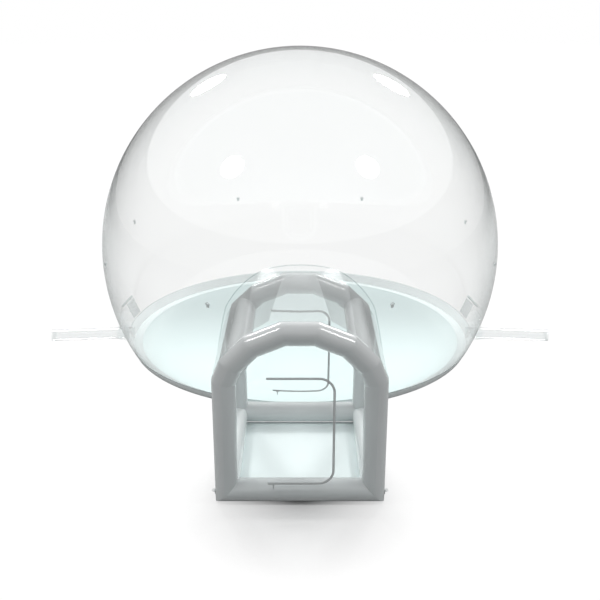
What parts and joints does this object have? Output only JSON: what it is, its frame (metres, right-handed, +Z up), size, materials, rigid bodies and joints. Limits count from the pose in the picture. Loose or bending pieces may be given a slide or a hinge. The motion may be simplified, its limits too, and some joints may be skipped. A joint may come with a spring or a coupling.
{
  "type": "inflatable bubble tent",
  "caption": "Clear spherical bubble tent with a floor band, anchor rings, side air sleeves, vents and a framed entrance tunnel with zipped doors.",
  "frame": {"origin": "centre of the dome floor's underside, on the ground", "axes": "+Z up, -Y out through the entrance tunnel, X across it"},
  "size_m": [6.499, 6.5662, 3.693],
  "materials": {
    "clear_film": "clear gloss film",
    "tube_vinyl": "glossy inflated vinyl",
    "floor_sheet": "satin groundsheet",
    "border_strip": "satin weld strip",
    "band_vinyl": "satin vinyl",
    "zip_tape": "woven zip tape",
    "zip_metal": "plated zinc",
    "ring_metal": "satin steel",
    "foot_ring_white": "white moulded",
    "valve_plastic": "moulded",
    "vent_border": "welded border",
    "vent_net": "fine net",
    "rolled_film": "rolled film",
    "tie_strap": "webbing",
    "cuff_film": "folded hem",
    "patch_vinyl": "welded patch"
  },
  "bodies": {
    "tent": {"dome_canopy": "clear_film", "door_panel": "clear_film", "vent_panel_right": "clear_film", "vent_panel_left": "clear_film", "tunnel_roof": "clear_film", "tunnel_wall_right": "clear_film", "tunnel_wall_left": "clear_film", "neck_sleeve": "clear_film", "front_panel": "clear_film", "duct_sleeve_right": "clear_film", "duct_sleeve_left": "clear_film", "duct_collar_right": "clear_film", "duct_collar_left": "clear_film", "front_arch": "tube_vinyl", "front_sill": "tube_vinyl", "rear_arch": "tube_vinyl", "rear_sill": "tube_vinyl", "shoulder_tube_right": "tube_vinyl", "shoulder_tube_left": "tube_vinyl", "floor_tube_right": "tube_vinyl", "floor_tube_left": "tube_vinyl", "dome_floor": "floor_sheet", "tunnel_floor": "floor_sheet", "neck_floor": "floor_sheet", "floor_border": "border_strip", "base_band": "band_vinyl", "front_zip_frame_tape": "zip_tape", "inner_zip_frame_tape": "zip_tape", "vent_frame_right": "vent_border", "vent_mesh_right": "vent_net", "vent_roll_right": "rolled_film", "vent_ties_right": "tie_strap", "duct_cuff_right": "cuff_film", "vent_frame_left": "vent_border", "vent_mesh_left": "vent_net", "vent_roll_left": "rolled_film", "vent_ties_left": "tie_strap", "duct_cuff_left": "cuff_film", "ring_patches": "patch_vinyl", "foot_patches": "patch_vinyl", "valve_bodies": "valve_plastic"},
    "front_door": {"front_door": "clear_film", "front_zip_door_tape": "zip_tape"},
    "inner_door": {"inner_door": "clear_film", "inner_zip_door_tape": "zip_tape"},
    "front_slider": {"front_zip_slider": "zip_metal"},
    "inner_slider": {"inner_zip_slider": "zip_metal"},
    "ring_1": {"ring_1": "ring_metal"},
    "ring_2": {"ring_2": "ring_metal"},
    "ring_3": {"ring_3": "ring_metal"},
    "ring_4": {"ring_4": "ring_metal"},
    "ring_5": {"ring_5": "ring_metal"},
    "ring_6": {"ring_6": "ring_metal"},
    "ring_7": {"ring_7": "ring_metal"},
    "ring_8": {"ring_8": "ring_metal"},
    "foot_ring_right": {"foot_ring_right": "foot_ring_white"},
    "valve_cap_right": {"valve_cap_right": "valve_plastic"},
    "foot_ring_left": {"foot_ring_left": "foot_ring_white"},
    "valve_cap_left": {"valve_cap_left": "valve_plastic"}
  },
  "joints": [
    {"name": "front_door_swing", "type": "hinge", "parent": "tent", "child": "front_door", "pos_m": [-0.2955, -4.0555, 0.7485], "axis": [0, 0, -1], "range_deg": [0, 110]},
    {"name": "inner_door_swing", "type": "hinge", "parent": "tent", "child": "inner_door", "pos_m": [-0.302, -2.44604, 0.76796], "axis": [0, 0.1712, -0.9852], "range_deg": [0, 100]},
    {"name": "front_zip_run", "type": "slide", "parent": "tent", "child": "front_slider", "axis": [1, 0, 0], "range_m": [0, 0.385]},
    {"name": "inner_zip_run", "type": "hinge", "parent": "tent", "child": "inner_slider", "pos_m": [0, 0, 1.193], "axis": [0, -0.1712, 0.9852], "range_deg": [0, 9.3]},
    {"name": "ring_1_swing", "type": "hinge", "parent": "tent", "child": "ring_1", "pos_m": [0.95966, -2.31683, 1.27329], "axis": [0.9239, 0.3827, 0], "range_deg": [0, 150]},
    {"name": "ring_2_swing", "type": "hinge", "parent": "tent", "child": "ring_2", "pos_m": [2.31683, -0.95966, 1.27329], "axis": [0.3827, 0.9239, 0], "range_deg": [0, 150]},
    {"name": "ring_3_swing", "type": "hinge", "parent": "tent", "child": "ring_3", "pos_m": [2.31683, 0.95966, 1.27329], "axis": [-0.3827, 0.9239, 0], "range_deg": [0, 150]},
    {"name": "ring_4_swing", "type": "hinge", "parent": "tent", "child": "ring_4", "pos_m": [0.95966, 2.31683, 1.27329], "axis": [-0.9239, 0.3827, 0], "range_deg": [0, 150]},
    {"name": "ring_5_swing", "type": "hinge", "parent": "tent", "child": "ring_5", "pos_m": [-0.95966, 2.31683, 1.27329], "axis": [-0.9239, -0.3827, 0], "range_deg": [0, 150]},
    {"name": "ring_6_swing", "type": "hinge", "parent": "tent", "child": "ring_6", "pos_m": [-2.31683, 0.95966, 1.27329], "axis": [-0.3827, -0.9239, 0], "range_deg": [0, 150]},
    {"name": "ring_7_swing", "type": "hinge", "parent": "tent", "child": "ring_7", "pos_m": [-2.31683, -0.95966, 1.27329], "axis": [0.3827, -0.9239, 0], "range_deg": [0, 150]},
    {"name": "ring_8_swing", "type": "hinge", "parent": "tent", "child": "ring_8", "pos_m": [-0.95966, -2.31683, 1.27329], "axis": [0.9239, -0.3827, 0], "range_deg": [0, 150]},
    {"name": "foot_ring_right_swing", "type": "hinge", "parent": "tent", "child": "foot_ring_right", "pos_m": [0.774, -3.948, 0.097], "axis": [0, 1, 0], "range_deg": [-80, 80]},
    {"name": "foot_ring_left_swing", "type": "hinge", "parent": "tent", "child": "foot_ring_left", "pos_m": [-0.774, -3.948, 0.097], "axis": [0, -1, 0], "range_deg": [-80, 80]},
    {"name": "valve_cap_right_flip", "type": "hinge", "parent": "tent", "child": "valve_cap_right", "pos_m": [0.64304, -3.02, 1.33651], "axis": [0, 1, 0], "range_deg": [0, 110]},
    {"name": "valve_cap_left_flip", "type": "hinge", "parent": "tent", "child": "valve_cap_left", "pos_m": [-0.64304, -3.02, 1.33651], "axis": [0, -1, 0], "range_deg": [0, 110]}
  ]
}
